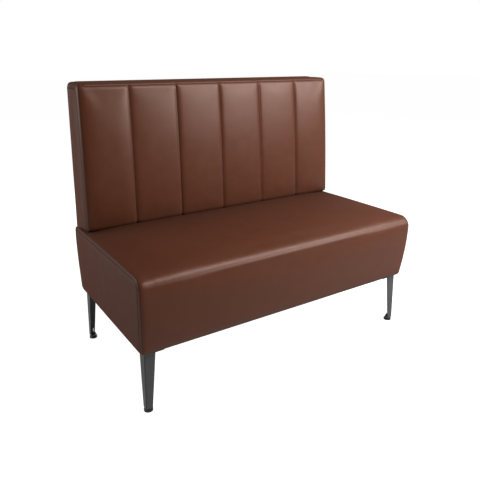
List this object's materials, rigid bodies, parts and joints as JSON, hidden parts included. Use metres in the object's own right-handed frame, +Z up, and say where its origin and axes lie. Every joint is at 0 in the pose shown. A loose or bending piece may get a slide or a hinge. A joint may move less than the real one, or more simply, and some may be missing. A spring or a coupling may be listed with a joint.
{
  "type": "restaurant booth seating",
  "caption": "Free-standing upholstered booth bench: deep box seat, upright fluted back, tapered folded steel legs and screw-out levelling glides.",
  "frame": {"origin": "on the floor, centred under the bench's bounding box, with the glides screwed in", "axes": "+X to the right of someone who faces the bench from the front; +Y to the back; +Z up; the seat's front faces -Y"},
  "size_m": [1.2, 0.6559, 1.022],
  "materials": {
    "leather": "semi-gloss grained brown",
    "plywood": "raw birch plywood",
    "foam": "matte open-cell foam",
    "webbing": "woven elastic strap",
    "dust_cloth": "matte black cloth",
    "leg_steel": "satin dark grey powder coat",
    "zinc_steel": "zinc plated",
    "glide_nylon": "moulded black nylon"
  },
  "bodies": {
    "bench": {"seat_cover": "leather", "back_cover": "leather", "outside_back": "leather", "seat_foam": "foam", "seat_front_padding": "foam", "back_foam": "foam", "seat_webbing": "webbing", "dust_cover": "dust_cloth", "seat_front_rail": "plywood", "seat_rear_rail": "plywood", "left_end_frame": "plywood", "right_end_frame": "plywood", "left_inner_frame": "plywood", "right_inner_frame": "plywood", "webbing_ledgers": "plywood", "back_front_panel": "plywood", "back_rear_panel": "plywood", "back_top_rail": "plywood", "back_bottom_rails": "plywood", "front_left_corner_block": "plywood", "front_left_leg": "leg_steel", "front_left_leg_plate": "leg_steel", "front_left_foot_tab": "leg_steel", "front_right_corner_block": "plywood", "front_right_leg": "leg_steel", "front_right_leg_plate": "leg_steel", "front_right_foot_tab": "leg_steel", "rear_left_corner_block": "plywood", "rear_left_leg": "leg_steel", "rear_left_leg_plate": "leg_steel", "rear_left_foot_tab": "leg_steel", "rear_right_corner_block": "plywood", "rear_right_leg": "leg_steel", "rear_right_leg_plate": "leg_steel", "rear_right_foot_tab": "leg_steel", "leg_screws": "zinc_steel"},
    "front_left_glide": {"front_left_glide_stud": "zinc_steel", "front_left_glide_pad": "glide_nylon"},
    "front_right_glide": {"front_right_glide_stud": "zinc_steel", "front_right_glide_pad": "glide_nylon"},
    "rear_left_glide": {"rear_left_glide_stud": "zinc_steel", "rear_left_glide_pad": "glide_nylon"},
    "rear_right_glide": {"rear_right_glide_stud": "zinc_steel", "rear_right_glide_pad": "glide_nylon"}
  },
  "joints": [
    {"name": "front_left_glide_travel", "type": "slide", "parent": "bench", "child": "front_left_glide", "axis": [0, 0, -1], "range_m": [0, 0.012]},
    {"name": "front_right_glide_travel", "type": "slide", "parent": "bench", "child": "front_right_glide", "axis": [0, 0, -1], "range_m": [0, 0.012]},
    {"name": "rear_left_glide_travel", "type": "slide", "parent": "bench", "child": "rear_left_glide", "axis": [0, 0, -1], "range_m": [0, 0.012]},
    {"name": "rear_right_glide_travel", "type": "slide", "parent": "bench", "child": "rear_right_glide", "axis": [0, 0, -1], "range_m": [0, 0.012]}
  ]
}
